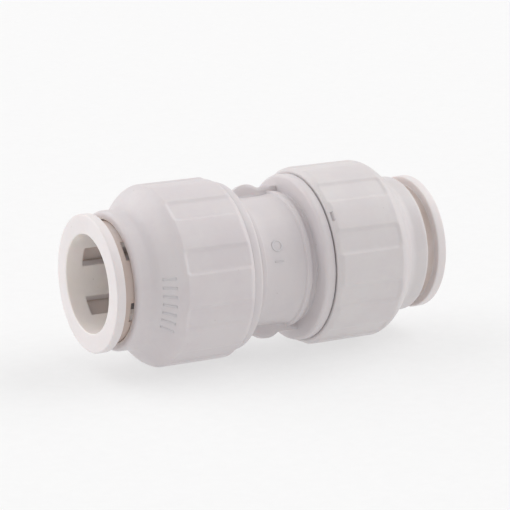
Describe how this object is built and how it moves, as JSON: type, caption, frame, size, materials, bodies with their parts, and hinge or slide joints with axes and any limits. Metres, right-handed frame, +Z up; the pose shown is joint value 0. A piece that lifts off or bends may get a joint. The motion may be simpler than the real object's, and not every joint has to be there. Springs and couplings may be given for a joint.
{
  "type": "push to connect pipe fitting",
  "caption": "Straight push to connect fitting that joins two plain pipe ends, with fluted screw caps and collets that push in to release.",
  "frame": {"origin": "centre of the fitting, on its axis, midway between the two collars' faces", "axes": "+X along the axis towards the right-hand socket, +Z up, +Y towards the back"},
  "size_m": [0.0576, 0.0282, 0.0284],
  "materials": {
    "fitting_plastic": "satin moulded white",
    "cap_plastic": "satin moulded white",
    "collet_plastic": "satin moulded white, a little translucent",
    "spacer_plastic": "satin",
    "steel": "bright stamped strip",
    "rubber": "matt, lightly greased"
  },
  "bodies": {
    "fitting": {"body": "fitting_plastic", "left_seal": "rubber", "right_seal": "rubber"},
    "left_spacer": {"left_spacer": "spacer_plastic"},
    "left_cap": {"left_cap": "cap_plastic"},
    "left_collet": {"left_collet": "collet_plastic", "left_tooth_1": "steel", "left_tooth_2": "steel", "left_tooth_3": "steel", "left_tooth_4": "steel", "left_tooth_5": "steel", "left_tooth_6": "steel"},
    "right_spacer": {"right_spacer": "spacer_plastic"},
    "right_cap": {"right_cap": "cap_plastic"},
    "right_collet": {"right_collet": "collet_plastic", "right_tooth_1": "steel", "right_tooth_2": "steel", "right_tooth_3": "steel", "right_tooth_4": "steel", "right_tooth_5": "steel", "right_tooth_6": "steel"}
  },
  "joints": [
    {"name": "left_cap_travel", "type": "slide", "parent": "fitting", "child": "left_spacer", "axis": [-1, 0, 0], "range_m": [0, 0.001]},
    {"name": "left_cap_turn", "type": "hinge", "parent": "left_spacer", "child": "left_cap", "pos_m": [-0.0163, 0, 0], "axis": [-1, 0, 0], "range_deg": [0, 90]},
    {"name": "left_release", "type": "slide", "parent": "left_spacer", "child": "left_collet", "axis": [1, 0, 0], "range_m": [0, 0.0017]},
    {"name": "right_cap_travel", "type": "slide", "parent": "fitting", "child": "right_spacer", "axis": [1, 0, 0], "range_m": [0, 0.001]},
    {"name": "right_cap_turn", "type": "hinge", "parent": "right_spacer", "child": "right_cap", "pos_m": [0.0163, 0, 0], "axis": [1, 0, 0], "range_deg": [0, 90]},
    {"name": "right_release", "type": "slide", "parent": "right_spacer", "child": "right_collet", "axis": [-1, 0, 0], "range_m": [0, 0.0017]}
  ],
  "couplings": [
    {"joint": "left_cap_travel", "follows": "left_cap_turn", "m_per_rad": 0.0006366},
    {"joint": "right_cap_travel", "follows": "right_cap_turn", "m_per_rad": 0.0006366}
  ]
}
